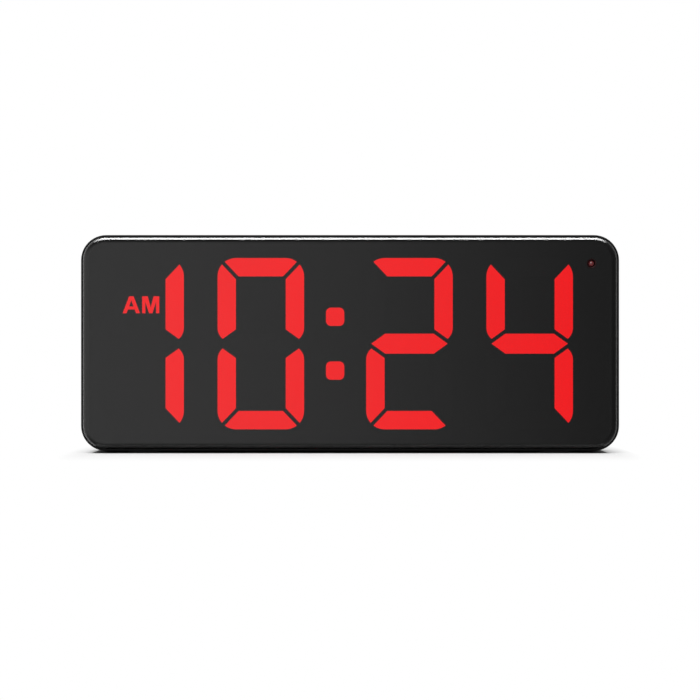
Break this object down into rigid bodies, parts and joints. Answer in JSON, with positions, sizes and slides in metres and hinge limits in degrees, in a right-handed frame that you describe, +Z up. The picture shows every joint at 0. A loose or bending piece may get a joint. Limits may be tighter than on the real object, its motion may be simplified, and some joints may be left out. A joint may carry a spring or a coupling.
{
  "type": "digital desk clock",
  "caption": "Flat desk clock with a large red segment display behind a smoked lens, a fold-out rear stand, rear buttons, battery door and keyhole slots.",
  "frame": {"origin": "on the surface that the clock stands on, under the middle of the case", "axes": "+X to the right seen from the front, +Y from the front lens to the back cover, +Z up"},
  "size_m": [0.24, 0.03, 0.0972],
  "materials": {
    "housing": "fine satin, moulded",
    "smoked_lens": "polished smoked acrylic",
    "foam_tape": "black foam",
    "black_film": "printed film",
    "white_moulding": "moulded, matt white",
    "lit_segment": "lit red diffuser",
    "dark_segment": "unlit smoked diffuser",
    "circuit_board": "green solder mask",
    "led_package": "white package",
    "sensor_dome": "tinted clear dome",
    "black_moulding": "plain moulded",
    "screw_steel": "zinc plated",
    "rubber": "matt",
    "button_cap": "satin",
    "plated_steel": "nickel plated",
    "cell_steel": "stainless can",
    "contact_metal": "plated spring",
    "chip_package": "epoxy",
    "capacitor_can": "sleeved can"
  },
  "bodies": {
    "case": {"front_frame": "housing", "back_cover": "housing", "front_lens": "smoked_lens", "lens_tape": "foam_tape", "display_mask": "black_film", "reflector_block": "white_moulding", "hour_tens_lit_segments": "lit_segment", "hour_ones_lit_segments": "lit_segment", "minute_tens_lit_segments": "lit_segment", "minute_ones_lit_segments": "lit_segment", "colon_dots": "lit_segment", "meridiem_window": "dark_segment", "hour_ones_dark_segment": "dark_segment", "minute_tens_dark_segments": "dark_segment", "minute_ones_dark_segments": "dark_segment", "display_board": "circuit_board", "power_board": "circuit_board", "segment_leds": "led_package", "light_sensor": "sensor_dome", "sensor_spacer": "black_moulding", "case_screws": "screw_steel", "board_screws": "screw_steel", "stand_pin": "screw_steel", "feet": "rubber", "button_switches": "black_moulding", "power_inlet": "plated_steel", "inlet_insert": "black_moulding", "coin_cell": "cell_steel", "battery_contacts": "contact_metal", "buzzer": "black_moulding", "controller_chip": "chip_package", "driver_chips": "chip_package", "clock_crystal": "plated_steel", "capacitors": "capacitor_can"},
    "stand": {"stand_leg": "housing", "stand_pad": "rubber"},
    "set_key": {"set_button": "button_cap", "set_plunger": "black_moulding"},
    "down_key": {"down_button": "button_cap", "down_plunger": "black_moulding"},
    "up_key": {"up_button": "button_cap", "up_plunger": "black_moulding"},
    "battery_flap": {"battery_door": "housing"}
  },
  "joints": [
    {"name": "stand_fold", "type": "hinge", "parent": "case", "child": "stand", "pos_m": [0, 0.0123, 0.07805], "axis": [1, 0, 0], "range_deg": [0, 40]},
    {"name": "set_press", "type": "slide", "parent": "case", "child": "set_key", "axis": [0, -1, 0], "range_m": [0, 0.0005], "stiffness_N_per_m": 600},
    {"name": "down_press", "type": "slide", "parent": "case", "child": "down_key", "axis": [0, -1, 0], "range_m": [0, 0.0005], "stiffness_N_per_m": 600},
    {"name": "up_press", "type": "slide", "parent": "case", "child": "up_key", "axis": [0, -1, 0], "range_m": [0, 0.0005], "stiffness_N_per_m": 600},
    {"name": "battery_door_swing", "type": "hinge", "parent": "case", "child": "battery_flap", "pos_m": [0.082, 0.0135, 0.04655], "axis": [-1, 0, 0], "range_deg": [0, 75]}
  ]
}
